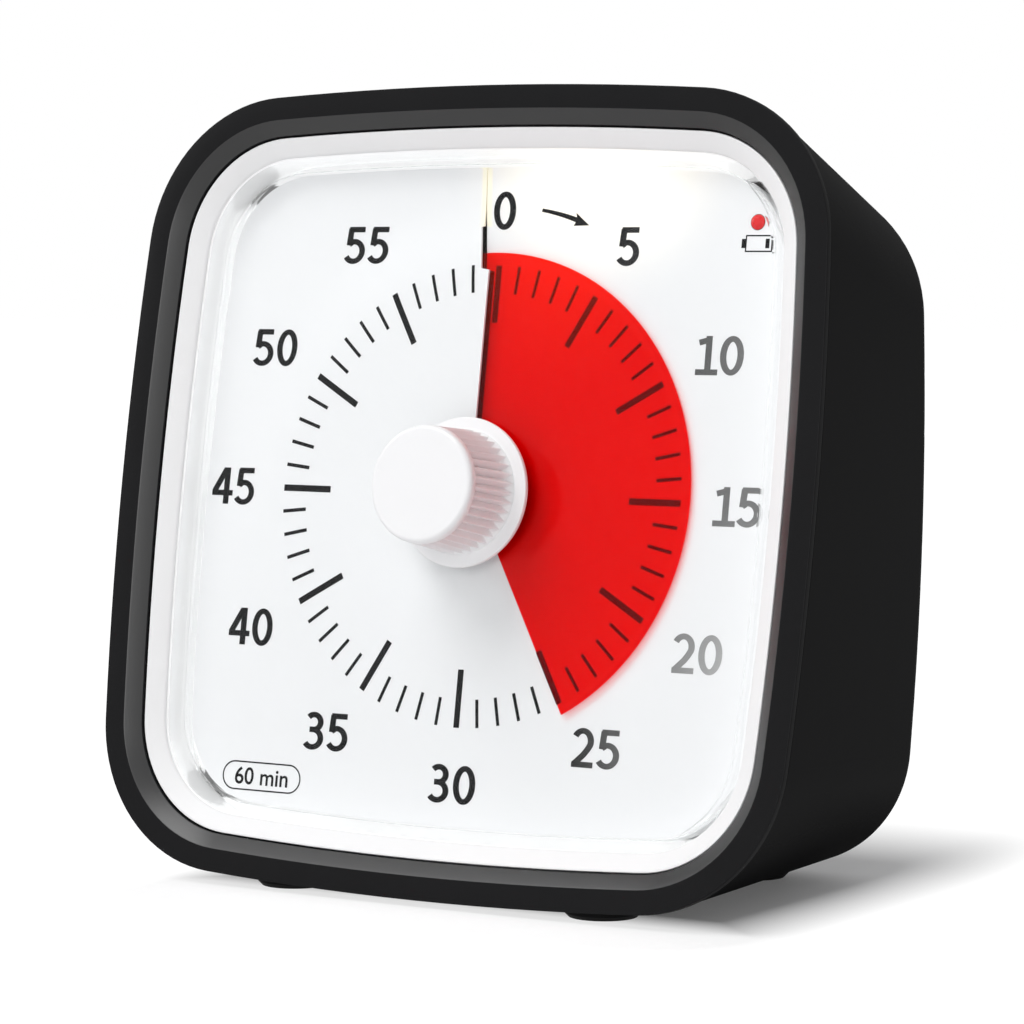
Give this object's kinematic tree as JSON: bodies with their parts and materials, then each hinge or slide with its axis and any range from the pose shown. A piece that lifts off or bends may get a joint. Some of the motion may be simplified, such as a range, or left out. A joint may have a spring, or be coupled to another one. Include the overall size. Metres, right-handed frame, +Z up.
{
  "type": "visual countdown timer",
  "caption": "Square countdown timer: a knurled knob turns a red disc over a sixty-minute dial behind a clear lens; black wedge housing.",
  "frame": {"origin": "middle of the footprint, on the surface the feet stand on", "axes": "+Z up, +X to the right seen from the front, -Y out of the dial towards the viewer"},
  "size_m": [0.14, 0.0761, 0.1394],
  "materials": {
    "black_plastic": "satin, fine grain",
    "white_plastic": "matte, fine grain",
    "clear_plastic": "polished clear",
    "dial_card": "printed card, satin",
    "red_film": "glossy translucent film",
    "knob_white": "satin",
    "grey_plastic": "matte",
    "nylon": "satin",
    "steel": "plated",
    "copper_wire": "enamelled windings",
    "led_red": "tinted epoxy",
    "led_warm": "diffused epoxy",
    "board": "solder mask",
    "cell_wrap": "printed sleeve",
    "rubber": "matte",
    "switch_black": "satin"
  },
  "bodies": {
    "housing": {"front_frame": "black_plastic", "rear_housing": "black_plastic", "feet": "rubber", "housing_screws": "steel", "white_liner": "white_plastic", "clear_lens": "clear_plastic", "chassis_plate": "grey_plastic", "dial_card": "dial_card", "movement_case": "switch_black", "movement_cover": "switch_black", "movement_screws": "steel", "stator": "steel", "coil": "copper_wire", "light_guide": "clear_plastic", "night_light_led": "led_warm", "battery_led": "led_red", "battery_bay": "grey_plastic", "battery_cells": "cell_wrap", "contact_plates": "steel", "contact_springs": "steel", "circuit_board": "board", "board_pillars": "black_plastic", "sounder": "switch_black", "sound_switch_body": "steel", "light_switch_body": "switch_black"},
    "knob_shaft": {"knob": "knob_white", "shaft": "steel", "output_wheel": "nylon"},
    "disc": {"time_disc": "red_film", "disc_hub": "nylon"},
    "idler": {"idler_wheel": "nylon"},
    "rotor": {"rotor": "nylon"},
    "sound_slider": {"sound_switch": "switch_black"},
    "light_push": {"light_button": "switch_black"},
    "door": {"battery_door": "black_plastic"}
  },
  "joints": [
    {"name": "knob_turn", "type": "hinge", "parent": "housing", "child": "knob_shaft", "pos_m": [0, -0.017, 0.06885], "axis": [0, 0.9877, -0.1564], "range_deg": [-150, 210]},
    {"name": "disc_rise", "type": "slide", "parent": "knob_shaft", "child": "disc", "axis": [0, -0.9877, 0.1564], "range_m": [-0.00083, 0.00116]},
    {"name": "idler_turn", "type": "hinge", "parent": "housing", "child": "idler", "pos_m": [0.014, -0.017, 0.06885], "axis": [0, 0.9877, -0.1564], "range_deg": [-1262, 902]},
    {"name": "rotor_turn", "type": "hinge", "parent": "housing", "child": "rotor", "pos_m": [0.014, -0.01519, 0.08031], "axis": [0, 0.9877, -0.1564], "range_deg": [-5630, 7880]},
    {"name": "sound_slide", "type": "slide", "parent": "housing", "child": "sound_slider", "axis": [1, 0, 0], "range_m": [0, 0.004]},
    {"name": "light_press", "type": "slide", "parent": "housing", "child": "light_push", "axis": [0, -1, 0], "range_m": [0, 0.0008], "stiffness_N_per_m": 300, "springref_m": -0.001},
    {"name": "door_pull", "type": "slide", "parent": "housing", "child": "door", "axis": [0, 1, 0], "range_m": [0, 0.03]}
  ],
  "couplings": [
    {"joint": "disc_rise", "follows": "knob_turn", "m_per_rad": 0.00031513},
    {"joint": "idler_turn", "follows": "knob_turn", "ratio": -6},
    {"joint": "rotor_turn", "follows": "knob_turn", "ratio": 37.5}
  ]
}
